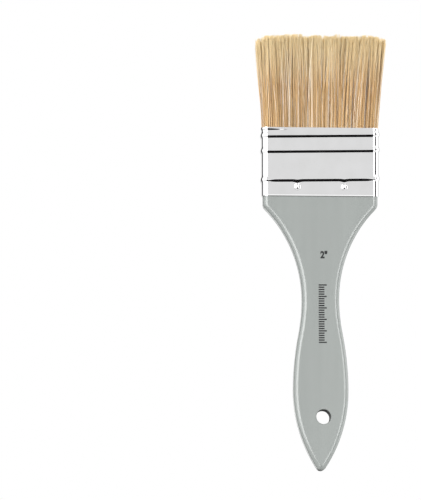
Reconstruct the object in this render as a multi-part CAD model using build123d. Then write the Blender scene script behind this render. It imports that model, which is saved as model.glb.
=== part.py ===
from build123d import *
import os
from math import sqrt

# A flat two-inch bristle brush, stood upright on the tip of its handle. Sizes are in millimetres.
# +Z runs from the handle's tip to the bristle tips and +X across the brush. The front faces -Y.
# The origin is the lowest point of the handle's tip, on the brush's centre line.

# ---- Driving dimensions ----

# Ferrule: one strip of tinned sheet, wrapped round and lapped at the back
ferrule_width = 50.8
ferrule_depth = 9.5
ferrule_height = 29.9
ferrule_corner = 2.7
sheet = 0.3
bead_width = 3.4
bead_height = 0.45
beads_below_mouth = (3.0, 9.7)
bead_above_edge = 7.6
rim_roll_height = 0.9
rim_roll_out = 0.25
lap_width = 6.0

# Handle: a flat wooden paddle with a waisted grip
handle_exposed = 119.3  # tip to the ferrule's lower edge
handle_seated = 11.0  # the part of the head inside the ferrule
head_parallel = 4.6  # straight sides between the ferrule and the shoulder
shoulder_arc = 56.8
shoulder_corner = 3.5
neck_width = 16.0
waist_share = 0.37  # where the outline changes from hollow to full, down from the neck
belly_width = 23.8
belly_arc = 61.1
tip_radius = 2.2
edge_round = 2.15
hole_diameter = 6.35
hole_above_tip = 23.1
hole_offset = 0.9
hole_edge_break = 0.25

# Nails: two through each face of the ferrule into the head
nail_spacing = 20.4
nail_above_edge = 3.9
nail_head_radius = 1.6
nail_head_height = 0.85
nail_shank_radius = 0.6
nail_shank_length = 3.6
nail_point_length = 1.2

# Heel: resin, spacer and the bound ends of the bristles
resin_floor = 1.6
resin_depth = 8.4
resin_wall = 0.4
spacer_width = 41.0
spacer_thickness = 2.2
spacer_below_mouth = 2.6

# Bristles
bristle_length = 39.5  # from the ferrule's mouth to the tips
bristle_top_width = 56.1
bristle_top_depth = 10.4
bristle_corner = 2.2
bend_length = 8.0  # the stretch above the mouth that bends when the brush is pressed
tip_round = 1.2

# Named clearances
handle_fit = 0.2  # head to ferrule, each side
nail_fit = 0.03  # shank to its hole, on the radius
heel_fit = 0.05  # between the pieces packed into the ferrule
bank_gap = 0.1  # between the front and rear banks of bristles
bend_gap = 0.05  # between the bending and the free stretch of a bank

# ---- Levels and widths that follow from them ----

ferrule_mouth = handle_exposed + ferrule_height
inner_width = ferrule_width - 2 * sheet
inner_depth = ferrule_depth - 2 * sheet
inner_corner = ferrule_corner - sheet
head_width = inner_width - 2 * handle_fit
handle_thickness = inner_depth - 2 * handle_fit
handle_top = handle_exposed + handle_seated
resin_bottom = handle_top + heel_fit
resin_top = resin_bottom + resin_depth
heel_bottom = resin_bottom + resin_floor
bundle_width = inner_width - 2 * heel_fit
bundle_depth = inner_depth - 2 * heel_fit
bend_top = ferrule_mouth + bend_length
bristle_top = ferrule_mouth + bristle_length
front_and_rear = {"front": -1, "rear": 1}

os.makedirs("parts", exist_ok=True)


def save(name, shape):
    shape.label = name
    export_step(shape, f"parts/{name}.step")


def rounded_block(width, depth, corner, bottom, top):
    return Pos(0, 0, bottom) * extrude(RectangleRounded(width, depth, corner), top - bottom)


def facing(side, plan_x, level):
    """Plane on the ferrule's front (-1) or rear (1) face: local +Y points out of that face."""
    face_point = (plan_x, side * ferrule_depth / 2, level)
    return Plane(origin=face_point, x_dir=(side, 0, 0), z_dir=(0, 0, 1))


# ---- Handle ----


def handle_outline():
    """Right half of the paddle, from the tip up to the top of the head, mirrored to a face."""
    head_half = head_width / 2
    neck_half = neck_width / 2
    belly_half = belly_width / 2

    # The belly's arc is placed so that the rounded tip just touches Z = 0.
    reach = belly_arc - tip_radius
    belly_level = tip_radius + sqrt(reach**2 - (belly_arc - belly_half) ** 2)
    tip_centre = Vector(0, tip_radius)
    belly_centre = Vector(belly_half - belly_arc, belly_level)
    tip_end = tip_centre + (tip_centre - belly_centre).normalized() * tip_radius

    # The shoulder's arc leaves the neck upright and meets the head where its sides begin.
    shoulder_level = handle_exposed - head_parallel
    arc_rise = sqrt(shoulder_arc**2 - (shoulder_arc - head_half + neck_half) ** 2)
    neck_level = shoulder_level - arc_rise
    neck = Vector(neck_half, neck_level)
    belly = Vector(belly_half, belly_level)
    waist = neck + (belly - neck) * waist_share

    tip = TangentArc((0, 0), tip_end, tangent=(1, 0))
    lower_belly = TangentArc(tip_end, belly, tangent=tip % 1)
    upper_belly = TangentArc(belly, waist, tangent=(0, 1))
    lower_neck = TangentArc(waist, neck, tangent=upper_belly % 1)
    shoulder = TangentArc(neck, (head_half, shoulder_level), tangent=(0, 1))
    head_side = Line((head_half, shoulder_level), (head_half, handle_top))
    head_end = Line((head_half, handle_top), (0, handle_top))
    half = Curve() + [tip, lower_belly, upper_belly, lower_neck, shoulder, head_side, head_end]
    return make_face((half + mirror(half, Plane.YZ)).edges())


def handle():
    outline = handle_outline()
    shoulders = outline.vertices().filter_by(
        lambda v: abs(v.Y - handle_exposed + head_parallel) < 0.01
    )
    outline = fillet(shoulders, shoulder_corner)
    paddle = extrude(Plane.XZ * outline, handle_thickness / 2, both=True)
    rims = [
        edge
        for edge in paddle.edges()
        if abs(abs(edge.center().Y) - handle_thickness / 2) < 0.01
        and edge.center().Z < handle_top - 0.01
    ]
    paddle = fillet(rims, edge_round)

    hole_centre = Pos(hole_offset, 0, hole_above_tip) * Rot(90, 0, 0)
    hole_radius = hole_diameter / 2
    paddle -= hole_centre * Cylinder(hole_radius, handle_thickness)
    flare = Cone(hole_radius, hole_radius + hole_edge_break, hole_edge_break)
    flare_middle = (handle_thickness - hole_edge_break) / 2
    paddle -= hole_centre * Pos(0, 0, flare_middle) * flare
    paddle -= hole_centre * Pos(0, 0, -flare_middle) * Rot(180, 0, 0) * flare
    return paddle - nail_holes()


# ---- Nails ----


def nail_places(side):
    level = handle_exposed + nail_above_edge
    return [facing(side, x, level) for x in (-nail_spacing / 2, nail_spacing / 2)]


def nail():
    """Domed head on the sheet, local +Y outwards, with a pointed shank behind it."""
    dome_radius = (nail_head_radius**2 + nail_head_height**2) / (2 * nail_head_height)
    dome = RadiusArc((0, nail_head_height), (nail_head_radius, 0), dome_radius)
    rest = Polyline(
        (nail_head_radius, 0),
        (nail_shank_radius, 0),
        (nail_shank_radius, nail_point_length - nail_shank_length),
        (0, -nail_shank_length),
        (0, nail_head_height),
    )
    return revolve(make_face([dome, *rest.edges()]), Axis.Y)


def nail_holes():
    """What the four shanks need: round through the sheet and the wood behind it."""
    hole = Rot(90, 0, 0) * Cylinder(
        nail_shank_radius + nail_fit,
        nail_shank_length + nail_fit,
        align=(Align.CENTER, Align.CENTER, Align.MIN),
    )
    holes = []
    for side in front_and_rear.values():
        for place in nail_places(side):
            holes.append(place * hole)
    return holes


# ---- Ferrule ----


def sheet_section(inner, outer, with_rim):
    """Face between two offsets of the beaded wall. Local X points out, local Y up the wall."""
    crown_radius = (bead_width**2 / 4 + bead_height**2) / (2 * bead_height)
    crown_centre = bead_height - crown_radius
    levels = [bead_above_edge, *sorted(ferrule_height - drop for drop in beads_below_mouth)]
    edges = []
    for offset in (outer, inner):
        half_width = sqrt((crown_radius + offset) ** 2 - (offset - crown_centre) ** 2)
        start = (offset, 0)
        for level in levels:
            low = (offset, level - half_width)
            high = (offset, level + half_width)
            edges.append(Line(start, low))
            edges.append(ThreePointArc(low, (bead_height + offset, level), high))
            start = high
        if with_rim and offset == outer:
            rim_start = (offset, ferrule_height - rim_roll_height)
            rim_middle = (offset + rim_roll_out, ferrule_height - rim_roll_height / 2)
            edges.append(Line(start, rim_start))
            edges.append(ThreePointArc(rim_start, rim_middle, (offset, ferrule_height)))
        else:
            edges.append(Line(start, (offset, ferrule_height)))
    edges.append(Line((inner, 0), (outer, 0)))
    edges.append(Line((inner, ferrule_height), (outer, ferrule_height)))
    return make_face(edges)


def ferrule():
    """The beaded section carried round a rounded rectangle, with its lap on the rear face."""
    section = sheet_section(-sheet, 0, with_rim=True)
    half_run = ferrule_width / 2 - ferrule_corner
    half_side = ferrule_depth / 2 - ferrule_corner
    shell = []
    for turn, along, across in ((0, half_run, half_side), (90, half_side, half_run)):
        for half_turn in (0, 180):
            place = Rot(0, 0, turn + half_turn)
            wall_plane = Plane(
                origin=(-along, -across - ferrule_corner, 0), x_dir=(0, -1, 0), z_dir=(-1, 0, 0)
            )
            wall = extrude(wall_plane * section, -2 * along)
            corner_plane = Plane(
                origin=(along, -across - ferrule_corner, 0), x_dir=(0, -1, 0), z_dir=(-1, 0, 0)
            )
            corner_axis = Axis((along, -across, 0), (0, 0, 1))
            corner = revolve(corner_plane * section, corner_axis, 90)
            shell.append(place * wall)
            shell.append(place * corner)
    lap_plane = Plane(
        origin=(-lap_width / 2, ferrule_depth / 2, 0), x_dir=(0, 1, 0), z_dir=(1, 0, 0)
    )
    lap = extrude(lap_plane * sheet_section(0, sheet, with_rim=False), lap_width)
    wrapped = shell[0].fuse(*shell[1:], lap)
    return Pos(0, 0, handle_exposed) * wrapped - nail_holes()


# ---- Heel and bristles ----


def spacer_plug(grow=0):
    """Wooden strip between the two banks, standing on the floor of the resin's pocket."""
    width = spacer_width + 2 * grow
    depth = spacer_thickness + 2 * grow
    top = ferrule_mouth - spacer_below_mouth + grow
    return rounded_block(width, depth, depth / 2 - heel_fit, heel_bottom - grow, top)


def bank(side, whole):
    """The front or rear half of a solid that spans the brush's depth."""
    cut = Pos(0, side * bank_gap / 2, 0) * Box(
        2 * bristle_top_width,
        ferrule_width,
        4 * bristle_top,
        align=(Align.CENTER, Align.MIN if side > 0 else Align.MAX, Align.CENTER),
    )
    return whole & cut


def heel_bundle():
    """Bound ends of all the bristles: narrower where the resin surrounds them."""
    set_width = bundle_width - 2 * resin_wall
    set_depth = bundle_depth - 2 * resin_wall
    set_end = rounded_block(set_width, set_depth, inner_corner - resin_wall, heel_bottom, resin_top)
    above = resin_top + heel_fit
    full = rounded_block(bundle_width, bundle_depth, inner_corner, above, ferrule_mouth)
    neck = rounded_block(set_width, set_depth, inner_corner - resin_wall, resin_top, above)
    return set_end + neck + full - spacer_plug(grow=heel_fit)


def resin_setting():
    """Block of set resin whose pocket holds the bound ends and the spacer."""
    block = rounded_block(bundle_width, bundle_depth, inner_corner, resin_bottom, resin_top)
    pocket_width = bundle_width - 2 * resin_wall + 2 * heel_fit
    pocket_depth = bundle_depth - 2 * resin_wall + 2 * heel_fit
    pocket_corner = inner_corner - resin_wall + heel_fit
    pocket_bottom = heel_bottom - heel_fit
    return block - rounded_block(pocket_width, pocket_depth, pocket_corner, pocket_bottom, resin_top)


def brush_section(level):
    """Outline of the bristles at a level above the mouth, flaring evenly to the tips."""
    share = (level - ferrule_mouth) / bristle_length
    width = bundle_width + share * (bristle_top_width - bundle_width)
    depth = bundle_depth + share * (bristle_top_depth - bundle_depth)
    return Pos(0, 0, level) * RectangleRounded(width, depth, bristle_corner)


def bristle_stretch(bottom, top):
    return loft([brush_section(bottom), brush_section(top)])


def free_bristles():
    whole = bristle_stretch(bend_top + bend_gap, bristle_top)
    return fillet(whole.faces().sort_by(Axis.Z)[-1].edges(), tip_round)


save("handle", handle())
save("ferrule", ferrule())
save("resin_setting", resin_setting())
save("spacer_plug", spacer_plug())
for name, side in front_and_rear.items():
    save(f"{name}_nails", Compound([place * nail() for place in nail_places(side)]))
    save(f"{name}_bristle_roots", bank(side, heel_bundle()))
    save(f"{name}_bristle_bend", bank(side, bristle_stretch(ferrule_mouth + bend_gap, bend_top)))
    save(f"{name}_bristles", bank(side, free_bristles()))
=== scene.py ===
import math

import bmesh
import bpy
import numpy as np
from mathutils import Euler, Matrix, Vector, noise


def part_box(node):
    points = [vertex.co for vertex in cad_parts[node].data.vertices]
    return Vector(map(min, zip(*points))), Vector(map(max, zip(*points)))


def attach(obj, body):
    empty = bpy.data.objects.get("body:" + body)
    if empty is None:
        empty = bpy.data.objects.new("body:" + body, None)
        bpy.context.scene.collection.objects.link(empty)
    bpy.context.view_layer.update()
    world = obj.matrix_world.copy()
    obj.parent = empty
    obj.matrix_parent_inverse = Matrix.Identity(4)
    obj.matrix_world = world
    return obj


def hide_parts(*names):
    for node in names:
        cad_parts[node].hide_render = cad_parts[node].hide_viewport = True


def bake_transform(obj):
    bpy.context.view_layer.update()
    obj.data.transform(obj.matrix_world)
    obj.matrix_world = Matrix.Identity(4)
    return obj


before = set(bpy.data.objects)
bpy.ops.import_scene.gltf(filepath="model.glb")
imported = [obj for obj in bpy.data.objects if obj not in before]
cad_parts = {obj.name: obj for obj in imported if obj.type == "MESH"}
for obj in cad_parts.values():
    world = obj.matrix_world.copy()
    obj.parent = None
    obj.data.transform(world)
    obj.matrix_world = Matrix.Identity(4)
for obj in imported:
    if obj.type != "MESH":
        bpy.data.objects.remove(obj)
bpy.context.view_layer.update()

scene = bpy.context.scene
mm = 0.001


# ---- Studio ----
# A plain pale floor some way below the brush, a white surround and soft panels, with bright and
# dark cards standing round the brush, as are set out to show polished metal.
# The camera stands far back, a little below and to the left of the brush's face.

camera_distance = 3.0
view_height = 216.7 * mm  # what the frame's height covers at the brush
aim = Vector((-47.7 * mm, 0, 95.8 * mm))
camera_azimuth = math.radians(-4.4)
camera_elevation = math.radians(-7.0)
camera_roll = math.radians(-0.1)

camera_back = Vector((
    math.sin(camera_azimuth) * math.cos(camera_elevation),
    -math.cos(camera_azimuth) * math.cos(camera_elevation),
    math.sin(camera_elevation),
))
camera_data = bpy.data.cameras.new("studio_camera")
camera_data.sensor_width = 36.0
camera_data.lens = camera_data.sensor_width * camera_distance / view_height
camera = bpy.data.objects.new("studio_camera", camera_data)
camera.location = aim + camera_back * camera_distance
facing = camera_back.to_track_quat("Z", "Y")
camera.rotation_euler = (facing @ Euler((0, 0, camera_roll)).to_quaternion()).to_euler()
scene.collection.objects.link(camera)
scene.camera = camera
scene.view_settings.view_transform = "Standard"


def wire(tree, kind, inputs, **options):
    """Adds a node with these options, and sets or links each of its inputs."""
    node = tree.nodes.new(kind)
    for name, value in options.items():
        setattr(node, name, value)
    for key, value in inputs.items():
        if isinstance(value, bpy.types.NodeSocket):
            tree.links.new(value, node.inputs[key])
        else:
            node.inputs[key].default_value = value
    return node


def new_material(name):
    """An empty node material, its tree and its output node."""
    material = bpy.data.materials.new(name)
    material.use_nodes = True
    material.node_tree.nodes.clear()
    output = material.node_tree.nodes.new("ShaderNodeOutputMaterial")
    return material, material.node_tree, output


def new_piece(name, vertices, faces):
    """A mesh object in the scene, with its place in its mesh."""
    mesh = bpy.data.meshes.new(name)
    mesh.from_pydata(vertices, [], faces)
    mesh.update()
    piece = bpy.data.objects.new(name, mesh)
    scene.collection.objects.link(piece)
    return piece


floor_drop = 350 * mm
floor_reach = 60.0
floor_grey = 0.6
floor = new_piece(
    "studio_floor",
    [
        (-floor_reach, -floor_reach, -floor_drop),
        (floor_reach, -floor_reach, -floor_drop),
        (floor_reach, floor_reach, -floor_drop),
        (-floor_reach, floor_reach, -floor_drop),
    ],
    [(0, 1, 2, 3)],
)
material, tree, output = new_material("studio_floor_paper")
shader = wire(
    tree,
    "ShaderNodeBsdfPrincipled",
    {"Base Color": (floor_grey, floor_grey, floor_grey, 1), "Roughness": 0.9},
)
tree.links.new(shader.outputs[0], output.inputs["Surface"])
floor.data.materials.append(material)

# The surround is white to the camera, and lights the brush evenly from every side.
surround_light = 0.855
world = bpy.data.worlds.new("studio_surround")
scene.world = world
world.use_nodes = True
tree = world.node_tree
tree.nodes.clear()
seen = wire(tree, "ShaderNodeBackground", {"Color": (1, 1, 1, 1), "Strength": 1.0})
lighting = wire(
    tree, "ShaderNodeBackground", {"Color": (1, 1, 1, 1), "Strength": surround_light}
)
path = wire(tree, "ShaderNodeLightPath", {})
both = wire(
    tree,
    "ShaderNodeMixShader",
    {0: path.outputs["Is Camera Ray"], 1: lighting.outputs[0], 2: seen.outputs[0]},
)
wire(tree, "ShaderNodeOutputWorld", {"Surface": both.outputs[0]})

brush_middle = Vector((0, 0, 100 * mm))


def soft_panel(name, azimuth, elevation, watts, distance=1.3, size=1.0):
    """A square light that faces the brush's middle, and leaves no reflection."""
    light = bpy.data.lights.new(name, "AREA")
    light.shape = "SQUARE"
    light.size = size
    light.energy = watts
    lamp = bpy.data.objects.new(name, light)
    a, e = math.radians(azimuth), math.radians(elevation)
    away = Vector((math.sin(a) * math.cos(e), -math.cos(a) * math.cos(e), math.sin(e)))
    lamp.location = brush_middle + away * distance
    lamp.rotation_euler = away.to_track_quat("Z", "Y").to_euler()
    lamp.visible_glossy = False
    scene.collection.objects.link(lamp)


def card(name, corners, brightness):
    """A flat card that only polished surfaces see, glowing or dark."""
    piece = new_piece(name, corners, [(0, 1, 2, 3)])
    material, tree, output = new_material(name)
    glow = wire(tree, "ShaderNodeEmission", {"Color": (1, 1, 1, 1), "Strength": brightness})
    tree.links.new(glow.outputs[0], output.inputs["Surface"])
    piece.data.materials.append(material)
    piece.visible_camera = False
    piece.visible_diffuse = False
    piece.visible_shadow = False


def standing_card(name, azimuths, foot, top, distance, brightness):
    """An upright card that fills these azimuths as the brush sees them."""
    ends = [math.radians(azimuth) for azimuth in azimuths]
    low = [(math.sin(a) * distance, -math.cos(a) * distance, foot) for a in ends]
    high = [(math.sin(a) * distance, -math.cos(a) * distance, top) for a in ends]
    card(name, [low[0], low[1], high[1], high[0]], brightness)


low_card_half_width = 0.06  # at the brush; both ends spread as the card goes away from it
low_card_spread_left = 0.14
low_card_spread_right = 0.22


def low_card(name, side, near, far, brightness):
    """A card across the front (-1) or rear (1) between two lines, each a distance and a height."""
    corners = []
    for away, height in (near, far):
        left = -low_card_half_width - away * low_card_spread_left
        right = low_card_half_width + away * low_card_spread_right
        ends = [(-side * x, side * away, height) for x in (left, right)]
        corners += ends if not corners else ends[::-1]
    card(name, corners, brightness)


for turn, side_name, side in ((0, "front", -1), (180, "rear", 1)):
    soft_panel(f"{side_name}_left_panel", azimuth=turn - 38, elevation=20, watts=5.6)
    soft_panel(f"{side_name}_right_panel", azimuth=turn + 30, elevation=10, watts=4.05)
    low_card(
        f"{side_name}_low_bounce", side, near=(0.62, -0.04), far=(0.62, 0.085), brightness=1.15
    )
    low_card(
        f"{side_name}_low_dark", side, near=(0.28, -0.33), far=(0.6, -0.045), brightness=0.01
    )
# Each card's azimuths in degrees, its foot, top and distance in metres, and its brightness.
for name, azimuths, foot, top, distance, brightness in (
    ("left_softbox", (-64, -18), -0.15, 0.8, 0.7, 4.6),
    ("left_side_card", (-112, -66), -0.15, 0.8, 0.7, 1.3),
    ("left_rear_dark", (-166, -120), -0.33, 0.8, 0.7, 0.02),
    ("right_softbox", (20, 40), -0.15, 0.8, 0.7, 4.6),
    ("right_dark_strip", (41, 70), -0.1, 0.4, 0.62, 0.0),
    ("right_far_softbox", (70, 124), -0.2, 0.8, 0.75, 1.8),
    ("right_rear_grey", (126, 176), -0.33, 0.8, 0.7, 0.6),
):
    standing_card(name, azimuths, foot, top, distance, brightness)
soft_panel("left_side_panel", azimuth=-82, elevation=5, watts=5.0)
soft_panel("right_side_panel", azimuth=82, elevation=5, watts=5.0)
soft_panel("top_panel", azimuth=0, elevation=80, watts=3.0, distance=1.4, size=1.2)


# ---- Handle ----
# One flat piece of hardwood, shaped and sanded, dipped in silver-grey paint with a low gloss.
# The grain can just be felt under the paint. Shade is painted into its colour where it meets the
# ferrule and on the hanging hole's wall, and the paint is darker at the very tip.

hole_across = 0.9 * mm
hole_up = 23.1 * mm
full_shade_radius = 3.2 * mm  # the hole's wall is painted fully dark inside this radius, as painted shade
shade_edge_radius = 3.3 * mm
seam_shadow_height = 0.55 * mm
tip_dark_height = 1.1 * mm


def mottle(tree, place, scale, detail, **inputs):
    """An uneven pattern over these places, from 0 to 1."""
    pattern = {"Vector": place, "Scale": scale, "Detail": detail, **inputs}
    return wire(tree, "ShaderNodeTexNoise", pattern).outputs["Fac"]


def two_tones(tree, pattern, dark_at, dark, light_at, light):
    """A colour that goes from dark to light as the pattern goes from one value to another."""
    ramp = wire(tree, "ShaderNodeValToRGB", {"Fac": pattern})
    dark_stop, light_stop = ramp.color_ramp.elements
    dark_stop.position, dark_stop.color = dark_at, (*dark, 1)
    light_stop.position, light_stop.color = light_at, (*light, 1)
    return ramp.outputs["Color"]


def uneven(tree, pattern, low, high):
    """A value that goes from low to high with the pattern."""
    spread = {"Value": pattern, "To Min": low, "To Max": high}
    return wire(tree, "ShaderNodeMapRange", spread).outputs[0]


def finish(tree, output, **inputs):
    """Ends a material in one surface with these properties."""
    named = {name.replace("_", " "): value for name, value in inputs.items()}
    shader = wire(tree, "ShaderNodeBsdfPrincipled", named)
    tree.links.new(shader.outputs[0], output.inputs["Surface"])


material, tree, output = new_material("silver_grey_paint")
place = wire(tree, "ShaderNodeTexCoord", {}).outputs["Object"]
along_grain = wire(
    tree, "ShaderNodeMapping", {"Vector": place, "Scale": (1.0, 1.0, 0.06)}
).outputs[0]
grain = mottle(tree, along_grain, 900.0, 4.0, Roughness=0.6)
broad_grain = mottle(tree, along_grain, 160.0, 2.0)
paint_colour = two_tones(
    tree, broad_grain, 0.3, (0.262, 0.282, 0.270), 0.7, (0.280, 0.301, 0.288)
)
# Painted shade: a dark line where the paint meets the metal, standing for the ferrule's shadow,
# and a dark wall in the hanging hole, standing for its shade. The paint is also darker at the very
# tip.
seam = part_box("ferrule")[0].z
height = wire(tree, "ShaderNodeSeparateXYZ", {0: place}).outputs["Z"]
# Painted shadow: the paint is darkened in a thin band just below the ferrule's foot.
painted_seam_shadow = wire(
    tree,
    "ShaderNodeMapRange",
    {"Value": height, "From Min": seam - seam_shadow_height, "From Max": seam, "To Max": 0.75},
    interpolation_type="SMOOTHSTEP",
).outputs[0]
# Painted shade: the hanging hole's wall is darkened, standing for the shade inside it.
from_hole = wire(
    tree,
    "ShaderNodeMapping",
    {"Vector": place, "Location": (-hole_across, 0, -hole_up), "Scale": (1, 0, 1)},
).outputs[0]
from_hole = wire(tree, "ShaderNodeVectorMath", {0: from_hole}, operation="LENGTH")
painted_bore_shade = wire(
    tree,
    "ShaderNodeMapRange",
    {
        "Value": from_hole.outputs["Value"],
        "From Min": full_shade_radius,
        "From Max": shade_edge_radius,
        "To Min": 0.95,
        "To Max": 0.0,
    },
).outputs[0]
# The paint is darker over the lowest millimetre or so of the tip.
tip_share = wire(
    tree,
    "ShaderNodeMapRange",
    {"Value": height, "From Max": tip_dark_height, "To Min": 0.35, "To Max": 0.0},
    interpolation_type="SMOOTHSTEP",
).outputs[0]
# The painted shade at the seam and in the bore, and the darker tip, mix the paint towards near
# black.
painted_shade_and_dark_tip = wire(tree, "ShaderNodeMath", {0: painted_seam_shadow, 1: painted_bore_shade}, operation="MAXIMUM")
painted_shade_and_dark_tip = wire(tree, "ShaderNodeMath", {0: painted_shade_and_dark_tip.outputs[0], 1: tip_share}, operation="MAXIMUM")
paint_with_painted_shade = wire(
    tree,
    "ShaderNodeMix",
    {"Factor": painted_shade_and_dark_tip.outputs[0], 6: paint_colour, 7: (0.05, 0.052, 0.05, 1)},
    data_type="RGBA",
)
sheen = uneven(tree, grain, 0.16, 0.26)
sheen = wire(tree, "ShaderNodeMath", {0: sheen, 1: painted_bore_shade}, operation="MAXIMUM")
raised = wire(tree, "ShaderNodeBump", {"Height": grain, "Strength": 0.12, "Distance": 0.05 * mm})
finish(
    tree,
    output,
    Base_Color=paint_with_painted_shade.outputs[2],
    Specular_IOR_Level=1.0,
    Roughness=sheen.outputs[0],
    Normal=raised.outputs[0],
)
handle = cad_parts["handle"]
handle.data.materials.clear()
handle.data.materials.append(material)


# ---- Ferrule ----
# One strip of bright tinned sheet, rolled with three raised beads, wrapped round the head and
# lapped at the back. Its rim and foot are drawn in a touch, and each nail sits in a small dimple.

ferrule_low, ferrule_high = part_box("ferrule")
wall_height = ferrule_high.z - ferrule_low.z
sheet = 0.3 * mm
half_width = 25.4 * mm
half_depth = 4.75 * mm
corner = 2.7 * mm
bead_height = 0.48 * mm
bead_width = 3.4 * mm
beads = (7.6 * mm, wall_height - 9.7 * mm, wall_height - 3.0 * mm)
bead_fall = 0.016  # the beads were rolled a little out of square
bead_end_loss = 0.45  # how much lower the lowest bead is at its two ends
bead_end_width = 2.2 * mm
rim_height = 0.9 * mm
rim_in = 0.14 * mm
foot_height = 0.8 * mm
foot_in = 0.09 * mm
knock_place = -23.5 * mm  # where the front rim was knocked outwards
knock_width = 6.5 * mm
knock_out = 0.45 * mm
knock_height = 1.5 * mm
lap_half = 3.0 * mm
lap_run_in = 2.0 * mm
nail_across = 10.2 * mm
nail_up = 3.9 * mm
dimple_depth = 0.12 * mm
dimple_radius = 2.8 * mm
pucker = 0.32  # how much wider the lowest bead spreads above each nail
pucker_width = 1.3 * mm
handling_ripple = 0.03 * mm
face_tolerance = 0.1 * mm


def wall_columns():
    """Points round the outside of the wrap with their outward directions, as arrays."""
    straight_x = half_width - corner
    straight_y = half_depth - corner
    points, normals = [], []
    face_steps, side_steps, corner_steps = 110, 8, 14
    for turn in range(4):
        angle = turn * math.pi / 2
        run, steps = ((straight_x, face_steps), (straight_y, side_steps))[turn % 2]
        reach = (half_depth, half_width)[turn % 2]
        along = Vector((math.cos(angle), math.sin(angle)))
        out = Vector((math.sin(angle), -math.cos(angle)))
        for i in range(steps):
            points.append(out * reach + along * run * (2 * i / steps - 1))
            normals.append(out)
        centre = out * (reach - corner) + along * run
        for i in range(corner_steps):
            swing = math.pi / 2 * i / corner_steps
            normal = out * math.cos(swing) + along * math.sin(swing)
            points.append(centre + normal * corner)
            normals.append(normal)
    return np.array(points), np.array(normals)


def ease(value):
    """A smooth step from 0 to 1."""
    value = min(1.0, max(0.0, value))
    return value * value * (3 - 2 * value)


def stand_off(x, y, up):
    """How far the sheet stands out from its flat wall at a point, in metres."""
    out = 0.0
    on_face = abs(abs(y) - half_depth) < face_tolerance
    for level in beads:
        above = up - level - bead_fall * x
        half = bead_width / 2
        height = bead_height
        if level == beads[0] and on_face:
            from_end = (abs(x) - half_width + corner) / bead_end_width
            height *= 1 - bead_end_loss * math.exp(-(from_end ** 2))
            if above < 0:
                spread = (abs(x) - nail_across) / pucker_width
                half *= 1 + pucker * math.exp(-(spread ** 2))
        if abs(above) < half:
            out += height * 0.5 * (1 + math.cos(math.pi * above / half))
    out -= rim_in * ease((up - wall_height + rim_height) / rim_height) ** 2
    out -= foot_in * ease(1 - up / foot_height) ** 2
    if y < 0:
        knock = math.exp(-(((x - knock_place) / knock_width) ** 2))
        out += knock_out * knock * ease((up - wall_height + knock_height) / (0.8 * knock_height))
    if on_face:
        for nail_x in (-nail_across, nail_across):
            away = math.hypot(x - nail_x, up - nail_up) / dimple_radius
            if away < 1:
                out -= dimple_depth * 0.5 * (1 + math.cos(math.pi * away))
    if y > half_depth - face_tolerance and x < lap_half:
        out += sheet * min(1.0, max(0.0, (x + lap_half + lap_run_in) / lap_run_in))
    out += handling_ripple * noise.noise(Vector((x * 60, y * 60, up * 90)))
    return out


columns, directions = wall_columns()
rows_outside = 150
rows_inside = 12
vertices = []
for (x, y), (nx, ny) in zip(columns, directions):
    for i in range(rows_outside + 1):
        up = wall_height * i / rows_outside
        out = stand_off(x, y, up)
        vertices.append((x + nx * out, y + ny * out, ferrule_low.z + up))
    for i in range(rows_inside + 1):
        up = wall_height * (1 - i / rows_inside)
        out = stand_off(x, y, up) - sheet if i in (0, rows_inside) else -sheet
        vertices.append((x + nx * out, y + ny * out, ferrule_low.z + up))
ring = rows_outside + rows_inside + 2
faces = []
for c in range(len(columns)):
    after = (c + 1) % len(columns)
    for r in range(ring):
        above = (r + 1) % ring
        faces.append((c * ring + r, after * ring + r, after * ring + above, c * ring + above))
ferrule = new_piece("ferrule_sheet", vertices, faces)
ferrule.data.shade_smooth()
ferrule.data.set_sharp_from_angle(angle=math.radians(50))

material, tree, output = new_material("bright_tinned_sheet")
place = wire(tree, "ShaderNodeTexCoord", {}).outputs["Object"]
clouds = mottle(tree, place, 140.0, 3.0)
finish(
    tree,
    output,
    Base_Color=two_tones(tree, clouds, 0.3, (0.80, 0.80, 0.80), 0.7, (0.84, 0.84, 0.845)),
    Metallic=1.0,
    Roughness=uneven(tree, clouds, 0.04, 0.09),
)
ferrule.data.materials.append(material)
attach(ferrule, "handle_and_ferrule")
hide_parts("ferrule")


# ---- Nails ----
# Two round-headed steel nails through each face of the wrap into the wooden head, hammered home.
# They are bright from the die, with fine scratches and a few hammer marks.

material, tree, output = new_material("bright_nail_steel")
place = wire(tree, "ShaderNodeTexCoord", {}).outputs["Object"]
scratches = mottle(tree, place, 1800.0, 3.0)
hammer_marks = wire(
    tree, "ShaderNodeBump", {"Height": scratches, "Strength": 0.05, "Distance": 0.01 * mm}
)
finish(
    tree,
    output,
    Base_Color=two_tones(tree, scratches, 0.3, (0.78, 0.78, 0.79), 0.7, (0.85, 0.85, 0.85)),
    Metallic=1.0,
    Roughness=uneven(tree, scratches, 0.05, 0.11),
    Normal=hammer_marks.outputs[0],
)
for name in ("front_nails", "rear_nails"):
    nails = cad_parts[name]
    nails.data.materials.clear()
    nails.data.materials.append(material)


# ---- Heel ----
# Inside the wrap, a bed of hard resin holds the roots of both banks of bristle, pressed apart by
# a strip of bare softwood. All of it is out of sight once the brush is made up.


def speckled_material(name, dark, light, stretch, scale, roughness):
    """A plain finish with two tones in fine streaks or grains along the brush."""
    material, tree, output = new_material(name)
    place = wire(tree, "ShaderNodeTexCoord", {}).outputs["Object"]
    drawn = wire(tree, "ShaderNodeMapping", {"Vector": place, "Scale": (1.0, 1.0, stretch)})
    speckle = mottle(tree, drawn.outputs[0], scale, 4.0)
    finish(
        tree,
        output,
        Base_Color=two_tones(tree, speckle, 0.35, dark, 0.65, light),
        Roughness=uneven(tree, speckle, roughness - 0.1, roughness + 0.1),
    )
    return material


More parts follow.
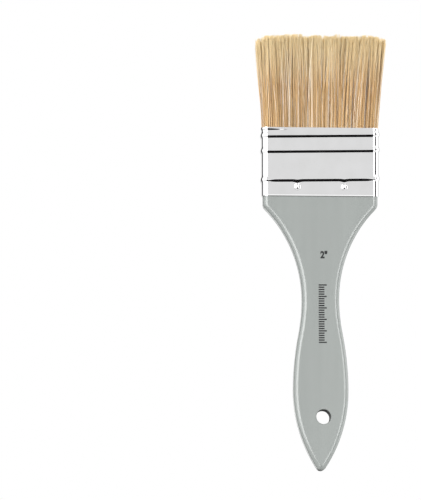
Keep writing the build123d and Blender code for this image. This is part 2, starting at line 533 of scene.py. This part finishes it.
resin = speckled_material(
    "hard_resin",
    dark=(0.30, 0.16, 0.05),
    light=(0.42, 0.25, 0.09),
    stretch=1.0,
    scale=500.0,
    roughness=0.3,
)
softwood = speckled_material(
    "bare_softwood",
    dark=(0.50, 0.34, 0.19),
    light=(0.66, 0.48, 0.29),
    stretch=0.05,
    scale=900.0,
    roughness=0.7,
)
set_bristle = speckled_material(
    "set_bristle",
    dark=(0.34, 0.21, 0.11),
    light=(0.74, 0.54, 0.31),
    stretch=0.01,
    scale=2600.0,
    roughness=0.5,
)
for name, material in (
    ("resin_setting", resin),
    ("spacer_plug", softwood),
    ("front_bristle_roots", set_bristle),
    ("rear_bristle_roots", set_bristle),
):
    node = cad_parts[name]
    node.data.materials.clear()
    node.data.materials.append(material)


# ---- Printed marks ----
# The width in inches is stamped on the front in dull black ink, and below it a plain scale of
# graduations runs down the handle. The ink is a thin film that stands just proud of the paint.

handle_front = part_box("handle")[0].y
ink_film = 0.03 * mm
ink_sunk = 0.02 * mm
size_mark = '2"'
size_mark_height = 3.3 * mm
size_mark_narrowing = 0.86  # the stamp's figures are a little condensed
size_mark_left = -0.3 * mm
size_mark_foot = 92.0 * mm
scale_left = -1.1 * mm
scale_foot = 55.4 * mm
scale_step = 1.0 * mm
scale_marks = 26
long_mark = 3.5 * mm
short_mark = 2.5 * mm
mark_thickness = 0.56 * mm
long_mark_every = 5
weld_distance = 0.0001 * mm

ink, tree, output = new_material("black_ink")
place = wire(tree, "ShaderNodeTexCoord", {}).outputs["Object"]
blotches = mottle(tree, place, 1500.0, 3.0)
finish(
    tree,
    output,
    Base_Color=two_tones(tree, blotches, 0.35, (0.006, 0.006, 0.007), 0.75, (0.03, 0.031, 0.031)),
    Roughness=0.55,
    Specular_IOR_Level=0.2,
)

lettering = bpy.data.curves.new("size_mark_lettering", "FONT")
lettering.body = size_mark
lettering.extrude = 0.5  # only tells the front from the back
lettering.resolution_u = 6
lettering.offset = 0.045  # a heavy face
drawn = bpy.data.objects.new("size_mark_lettering", lettering)
scene.collection.objects.link(drawn)
mark_mesh = bpy.data.meshes.new_from_object(
    drawn.evaluated_get(bpy.context.evaluated_depsgraph_get())
)
bpy.data.objects.remove(drawn)
bpy.data.curves.remove(lettering)
low = Vector([min(v.co[i] for v in mark_mesh.vertices) for i in range(3)])
high = Vector([max(v.co[i] for v in mark_mesh.vertices) for i in range(3)])
mark_scale = size_mark_height / (high.y - low.y)
for vertex in mark_mesh.vertices:
    x = size_mark_left + (vertex.co.x - low.x) * mark_scale * size_mark_narrowing
    z = size_mark_foot + (vertex.co.y - low.y) * mark_scale
    depth = ink_sunk if vertex.co.z < 0 else -ink_film
    vertex.co = (x, handle_front + depth, z)
# The figures' fronts, sides and backs come as separate faces: they are joined into closed solids.
solid = bmesh.new()
solid.from_mesh(mark_mesh)
bmesh.ops.remove_doubles(solid, verts=solid.verts, dist=weld_distance)
bmesh.ops.recalc_face_normals(solid, faces=solid.faces)
solid.to_mesh(mark_mesh)
solid.free()
mark_mesh.name = "size_mark"
mark_mesh.materials.clear()
mark_mesh.materials.append(ink)
size_print = bpy.data.objects.new("size_mark", mark_mesh)
scene.collection.objects.link(size_print)
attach(size_print, "handle_and_ferrule")


def graduation_tree():
    """Node tree that repeats one bar up the handle, some of them longer."""
    tree = bpy.data.node_groups.new("graduations", "GeometryNodeTree")
    knobs = {}
    for name, kind in (
        ("Geometry", "NodeSocketGeometry"),
        ("Marks", "NodeSocketInt"),
        ("Step", "NodeSocketFloat"),
        ("Long mark every", "NodeSocketInt"),
        ("Long mark", "NodeSocketFloat"),
        ("Short mark", "NodeSocketFloat"),
        ("Thickness", "NodeSocketFloat"),
        ("Film", "NodeSocketFloat"),
        ("Start", "NodeSocketVector"),
        ("Finish", "NodeSocketMaterial"),
    ):
        knobs[name] = tree.interface.new_socket(name, in_out="INPUT", socket_type=kind)
    tree.interface.new_socket("Geometry", in_out="OUTPUT", socket_type="NodeSocketGeometry")
    given = tree.nodes.new("NodeGroupInput").outputs
    upward = wire(tree, "ShaderNodeCombineXYZ", {"Z": given["Step"]}).outputs[0]
    places = wire(
        tree,
        "GeometryNodeMeshLine",
        {"Count": given["Marks"], "Start Location": given["Start"], "Offset": upward},
    ).outputs[0]
    index = wire(tree, "GeometryNodeInputIndex", {}).outputs[0]
    past_long = wire(
        tree, "ShaderNodeMath", {0: index, 1: given["Long mark every"]}, operation="MODULO"
    ).outputs[0]
    is_short = wire(tree, "ShaderNodeMath", {0: past_long, 1: 0.5}, operation="GREATER_THAN")
    bars = []
    for length in ("Long mark", "Short mark"):
        size = wire(
            tree,
            "ShaderNodeCombineXYZ",
            {"X": given[length], "Y": given["Film"], "Z": given["Thickness"]},
        ).outputs[0]
        bar = wire(tree, "GeometryNodeMeshCube", {"Size": size}).outputs["Mesh"]
        half = wire(tree, "ShaderNodeMath", {0: given[length], 1: 0.5}, operation="MULTIPLY")
        shift = wire(tree, "ShaderNodeCombineXYZ", {"X": half.outputs[0]}).outputs[0]
        bars.append(wire(
            tree, "GeometryNodeTransform", {"Geometry": bar, "Translation": shift}
        ).outputs[0])
    is_long = wire(tree, "ShaderNodeMath", {0: 1.0, 1: is_short.outputs[0]}, operation="SUBTRACT")
    joined = tree.nodes.new("GeometryNodeJoinGeometry")
    for bar, chosen in zip(bars, (is_long, is_short)):
        some = wire(
            tree,
            "GeometryNodeInstanceOnPoints",
            {"Points": places, "Instance": bar, "Selection": chosen.outputs[0]},
        )
        tree.links.new(some.outputs[0], joined.inputs[0])
    solid = wire(tree, "GeometryNodeRealizeInstances", {0: joined.outputs[0]}).outputs[0]
    inked = wire(
        tree, "GeometryNodeSetMaterial", {"Geometry": solid, "Material": given["Finish"]}
    ).outputs[0]
    wire(tree, "NodeGroupOutput", {0: inked})
    return tree, knobs


marks_tree, marks_knobs = graduation_tree()
scale_print = new_piece("graduations", [(0, 0, 0)], [])
modifier = scale_print.modifiers.new("repeat", "NODES")
modifier.node_group = marks_tree
for knob, value in (
    ("Marks", scale_marks),
    ("Step", scale_step),
    ("Long mark every", long_mark_every),
    ("Long mark", long_mark),
    ("Short mark", short_mark),
    ("Thickness", mark_thickness),
    ("Film", ink_film + ink_sunk),
    ("Start", (scale_left, handle_front + (ink_sunk - ink_film) / 2, scale_foot)),
    ("Finish", ink),
):
    modifier[marks_knobs[knob].identifier] = value
repeated = bpy.data.meshes.new_from_object(
    scale_print.evaluated_get(bpy.context.evaluated_depsgraph_get())
)
scale_print.modifiers.clear()
scale_print.data = repeated
scale_print.data.name = "graduations"
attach(scale_print, "handle_and_ferrule")


# ---- Bristles ----
# Straw-coloured hog bristle in two banks, front and rear of a wooden spacer. Each hair tapers,
# bows a little its own way and draws together with its neighbours into tufts near the tip.

mouth = ferrule_high.z
bristle_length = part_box("front_bristles")[1].z - mouth
mouth_half_width = 25.05 * mm
mouth_half_depth = 4.4 * mm
mouth_corner = 2.2 * mm
tip_half_width = 28.0 * mm
tip_half_depth = 5.1 * mm
root_depth = 2.0 * mm  # how far the hairs are drawn below the mouth
lean_across = 0.6 * mm
hair_wander = 0.5 * mm
stray_wander = 3.4 * mm
hair_thinning = 0.65  # the share of its thickness that a hair loses by its tip
hair_points = 7
hair_sides = 3
tone_count = 64
even_trim = 0.967  # this and the next three are shares of the free length
tip_scallop = 0.11
corner_rounding = 0.075
shortest_cut = 0.16


def bank_footprint(side):
    """Outline of half the mouth, front (-1) or rear (1), as one face for the hairs to stand on."""
    points = []
    for i in range(9):
        swing = math.pi / 2 * i / 8
        points.append((
            mouth_half_width - mouth_corner * (1 - math.cos(swing)),
            side * (mouth_half_depth - mouth_corner * (1 - math.sin(swing))),
            mouth,
        ))
    mirrored = [(-x, y, z) for x, y, z in reversed(points)]
    outline = [(mouth_half_width, 0, mouth), *points, *mirrored, (-mouth_half_width, 0, mouth)]
    return outline if side > 0 else outline[::-1]


def bristle_tree():
    """Node tree that grows one bank of hairs from the face it is given."""
    tree = bpy.data.node_groups.new("bristle_bank", "GeometryNodeTree")
    knobs = {}
    for name, kind in (
        ("Geometry", "NodeSocketGeometry"),
        ("Hairs per area", "NodeSocketFloat"),
        ("Length", "NodeSocketFloat"),
        ("Flare across", "NodeSocketFloat"),
        ("Flare in depth", "NodeSocketFloat"),
        ("Lean across", "NodeSocketFloat"),
        ("Hair radius", "NodeSocketFloat"),
        ("Share astray", "NodeSocketFloat"),
        ("Seed", "NodeSocketInt"),
        ("Finish", "NodeSocketMaterial"),
    ):
        knobs[name] = tree.interface.new_socket(name, in_out="INPUT", socket_type=kind)
    tree.interface.new_socket("Geometry", in_out="OUTPUT", socket_type="NodeSocketGeometry")
    given = tree.nodes.new("NodeGroupInput").outputs

    def sums(operation, *values):
        return wire(tree, "ShaderNodeMath", dict(enumerate(values)), operation=operation).outputs[0]

    def chance(low, high, salt):
        seed = sums("ADD", given["Seed"], float(salt))
        node = wire(tree, "FunctionNodeRandomValue", {"Seed": seed}, data_type="FLOAT")
        node.inputs[2].default_value = low
        node.inputs[3].default_value = high
        return node.outputs[1]

    def keep(geometry, name, value, kind="FLOAT", domain="POINT"):
        inputs = {"Geometry": geometry, "Name": name, "Value": value}
        node = wire(
            tree, "GeometryNodeStoreNamedAttribute", inputs, data_type=kind, domain=domain
        )
        return node.outputs[0]

    def recall(name, kind="FLOAT"):
        return wire(
            tree, "GeometryNodeInputNamedAttribute", {"Name": name}, data_type=kind
        ).outputs[0]

    roots = wire(
        tree,
        "GeometryNodeDistributePointsOnFaces",
        {"Mesh": given["Geometry"], "Density": given["Hairs per area"], "Seed": given["Seed"]},
    ).outputs["Points"]
    position = wire(tree, "GeometryNodeInputPosition", {}).outputs[0]
    roots = keep(roots, "root", position, "FLOAT_VECTOR")
    # A hair has one of a few dozen tones, because the map below has a column for each.
    # The hairs that go astray are old and pale.
    wild = sums("LESS_THAN", chance(0, 1, 12), given["Share astray"])
    palest = sums("MULTIPLY", wild, tone_count - 0.5)
    shade = sums("MAXIMUM", chance(0, tone_count - 0.01, 11), palest)
    tone = sums("DIVIDE", sums("ADD", sums("FLOOR", shade), 0.5), float(tone_count))
    roots = keep(roots, "tone", tone)
    roots = keep(roots, "wild", wild)
    roots = keep(roots, "lean", chance(-1, 1, 13))
    roots = keep(roots, "nod", chance(-1, 1, 14))
    roots = keep(roots, "cut", chance(0, 1, 15))
    stem = wire(tree, "GeometryNodeCurvePrimitiveLine", {"End": (0, 0, 1)}).outputs[0]
    stem = wire(tree, "GeometryNodeResampleCurve", {"Curve": stem, "Count": hair_points}).outputs[0]
    hairs = wire(tree, "GeometryNodeInstanceOnPoints", {"Points": roots, "Instance": stem})
    hairs = wire(tree, "GeometryNodeRealizeInstances", {0: hairs.outputs[0]}).outputs[0]

    along = wire(tree, "GeometryNodeSplineParameter", {}).outputs["Factor"]
    hairs = keep(hairs, "along", along)
    root = wire(tree, "ShaderNodeSeparateXYZ", {0: recall("root", "FLOAT_VECTOR")}).outputs

    # Length: most hairs reach the trimmed edge, a few are short, and the two corners round off.
    edge = sums("DIVIDE", sums("ABSOLUTE", root["X"]), mouth_half_width)
    rounding = sums("MULTIPLY", sums("POWER", edge, 14.0), corner_rounding)
    shortness = sums("MULTIPLY", sums("POWER", recall("cut"), 5.0), shortest_cut)
    scallop = wire(
        tree,
        "ShaderNodeTexNoise",
        {"Vector": recall("root", "FLOAT_VECTOR"), "Scale": 260.0, "Detail": 2.0},
    ).outputs["Fac"]
    trim = sums("SUBTRACT", sums("MULTIPLY_ADD", scallop, tip_scallop, even_trim), rounding)
    reach = sums("MULTIPLY", given["Length"], sums("SUBTRACT", trim, shortness))
    drawn_length = sums("ADD", reach, root_depth)
    height = sums("SUBTRACT", sums("MULTIPLY", along, drawn_length), root_depth)
    free = sums("DIVIDE", sums("MAXIMUM", height, 0.0), given["Length"])

    # Tufts: hairs lean to the middle of their own cell, in wide cells and in narrow ones.
    def tuft(scale, pull, power):
        cell = wire(
            tree,
            "ShaderNodeTexVoronoi",
            {"Vector": recall("root", "FLOAT_VECTOR"), "Scale": scale, "Randomness": 1.0},
            voronoi_dimensions="2D",
        )
        centre = wire(tree, "ShaderNodeSeparateXYZ", {0: cell.outputs["Position"]}).outputs
        grip = sums("MULTIPLY", sums("POWER", free, power), pull)
        across = sums("MULTIPLY", sums("SUBTRACT", centre["X"], root["X"]), grip)
        depth = sums("MULTIPLY", sums("SUBTRACT", centre["Y"], root["Y"]), grip)
        return across, depth

    wide = tuft(170.0, 0.22, 1.8)
    narrow = tuft(560.0, 0.36, 1.3)

    # Bow: every hair wanders a little, and about one in twenty strays across its neighbours.
    bow = wire(
        tree,
        "ShaderNodeTexNoise",
        {"Vector": recall("root", "FLOAT_VECTOR"), "Scale": 900.0, "Detail": 0.0},
    )
    bow = wire(tree, "ShaderNodeSeparateXYZ", {0: bow.outputs["Color"]}).outputs
    held = sums("SUBTRACT", 1.0, sums("POWER", edge, 6.0))
    astray = sums("MULTIPLY", recall("wild"), held)
    swing = sums("MULTIPLY_ADD", astray, stray_wander, hair_wander)
    bend = sums("POWER", free, 1.7)
    sideways = sums("MULTIPLY", sums("MULTIPLY", recall("lean"), swing), bend)
    forward = sums("MULTIPLY", sums("MULTIPLY", recall("nod"), sums("MULTIPLY", swing, 0.4)), bend)
    wave = sums("MULTIPLY", sums("SINE", sums("MULTIPLY", free, 7.0)), hair_wander)
    ripple = sums("MULTIPLY", sums("SUBTRACT", bow["X"], 0.5), wave)

    across = sums("MULTIPLY", root["X"], sums("MULTIPLY_ADD", free, given["Flare across"], 1.0))
    across = sums("ADD", across, sums("ADD", wide[0], narrow[0]))
    across = sums("ADD", across, sums("ADD", sideways, ripple))
    across = sums("MULTIPLY_ADD", free, given["Lean across"], across)
    depth = sums("MULTIPLY", root["Y"], sums("MULTIPLY_ADD", free, given["Flare in depth"], 1.0))
    depth = sums("ADD", depth, sums("ADD", wide[1], narrow[1]))
    depth = sums("ADD", depth, forward)
    place = wire(
        tree,
        "ShaderNodeCombineXYZ",
        {"X": across, "Y": depth, "Z": sums("ADD", root["Z"], height)},
    ).outputs[0]
    hairs = wire(
        tree, "GeometryNodeSetPosition", {"Geometry": hairs, "Position": place}
    ).outputs[0]

    # Thickness: each hair is its own size, and thins over its last third.
    size = sums("MULTIPLY_ADD", recall("cut"), 0.5, 0.75)
    taper = sums("SUBTRACT", 1.0, sums("MULTIPLY", sums("POWER", along, 3.0), hair_thinning))
    radius = sums("MULTIPLY", given["Hair radius"], sums("MULTIPLY", size, taper))
    ring = wire(
        tree, "GeometryNodeCurvePrimitiveCircle", {"Resolution": hair_sides, "Radius": 1.0}
    ).outputs["Curve"]
    turn = wire(tree, "GeometryNodeSplineParameter", {}).outputs["Factor"]
    ring = keep(ring, "round", turn)
    tubes = wire(
        tree,
        "GeometryNodeCurveToMesh",
        {"Curve": hairs, "Profile Curve": ring, "Scale": radius, "Fill Caps": True},
    ).outputs[0]
    tubes = wire(tree, "GeometryNodeSetShadeSmooth", {"Geometry": tubes}).outputs[0]
    # The map lays every hair of one tone over the same narrow column, root at the bottom.
    column = sums("MULTIPLY_ADD", recall("round"), 0.8 / tone_count, recall("tone"))
    column = sums("SUBTRACT", column, 0.4 / tone_count)
    flat = wire(tree, "ShaderNodeCombineXYZ", {"X": column, "Y": recall("along")}).outputs[0]
    tubes = keep(tubes, "OFBake", flat, "FLOAT2", "CORNER")
    tubes = wire(tree, "GeometryNodeRealizeInstances", {0: tubes}).outputs[0]
    finished = wire(
        tree, "GeometryNodeSetMaterial", {"Geometry": tubes, "Material": given["Finish"]}
    ).outputs[0]
    wire(tree, "NodeGroupOutput", {0: finished})
    return tree, knobs


hog_bristle, tree, output = new_material("hog_bristle")
tone = wire(tree, "ShaderNodeAttribute", {}, attribute_name="tone")
along = wire(tree, "ShaderNodeAttribute", {}, attribute_name="along")
hair_colour = wire(tree, "ShaderNodeValToRGB", {"Fac": tone.outputs["Fac"]})
ramp = hair_colour.color_ramp
ramp.elements[0].position = 0.0
ramp.elements[0].color = (0.16, 0.075, 0.03, 1)
ramp.elements[1].position = 1.0
ramp.elements[1].color = (1.0, 0.92, 0.80, 1)
for position, colour in (
    (0.11, (0.24, 0.145, 0.085, 1)),
    (0.17, (0.50, 0.285, 0.11, 1)),
    (0.45, (0.785, 0.51, 0.225, 1)),
    (0.85, (0.92, 0.66, 0.34, 1)),
):
    ramp.elements.new(position).color = colour
tip_share = wire(
    tree,
    "ShaderNodeMapRange",
    {"Value": along.outputs["Fac"], "From Min": 0.5, "From Max": 1.0, "To Max": 0.9},
)
tip_colour = wire(
    tree,
    "ShaderNodeMix",
    {"Factor": tip_share.outputs[0], 6: hair_colour.outputs["Color"], 7: (1.0, 0.83, 0.50, 1)},
    data_type="RGBA",
)
finish(
    tree, output, Base_Color=tip_colour.outputs[2], Roughness=0.42, Specular_IOR_Level=0.35
)

bank_tree, bank_knobs = bristle_tree()
coarse = {"Hairs per area": 1.7e7, "Hair radius": 0.105 * mm, "Share astray": 0.09}
fine = {"Hairs per area": 2.2e7, "Hair radius": 0.075 * mm, "Share astray": 0.02}
for name, side_name, side, grade, seed in (
    ("front_bank_coarse_hairs", "front", -1, coarse, 3),
    ("front_bank_fine_hairs", "front", -1, fine, 21),
    ("rear_bank_coarse_hairs", "rear", 1, coarse, 8),
    ("rear_bank_fine_hairs", "rear", 1, fine, 34),
):
    outline = bank_footprint(side)
    bank = new_piece(name, outline, [tuple(range(len(outline)))])
    modifier = bank.modifiers.new("grow", "NODES")
    modifier.node_group = bank_tree
    for knob, value in (
        ("Length", bristle_length),
        ("Flare across", tip_half_width / mouth_half_width - 1),
        ("Flare in depth", tip_half_depth / mouth_half_depth - 1),
        ("Lean across", lean_across),
        ("Seed", seed),
        ("Finish", hog_bristle),
        *grade.items(),
    ):
        modifier[bank_knobs[knob].identifier] = value
    grown = bpy.data.meshes.new_from_object(
        bank.evaluated_get(bpy.context.evaluated_depsgraph_get())
    )
    bank.modifiers.clear()
    bank.data = grown
    bank.data.name = bank.name
    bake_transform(bank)
    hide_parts(f"{side_name}_bristle_bend", f"{side_name}_bristles")
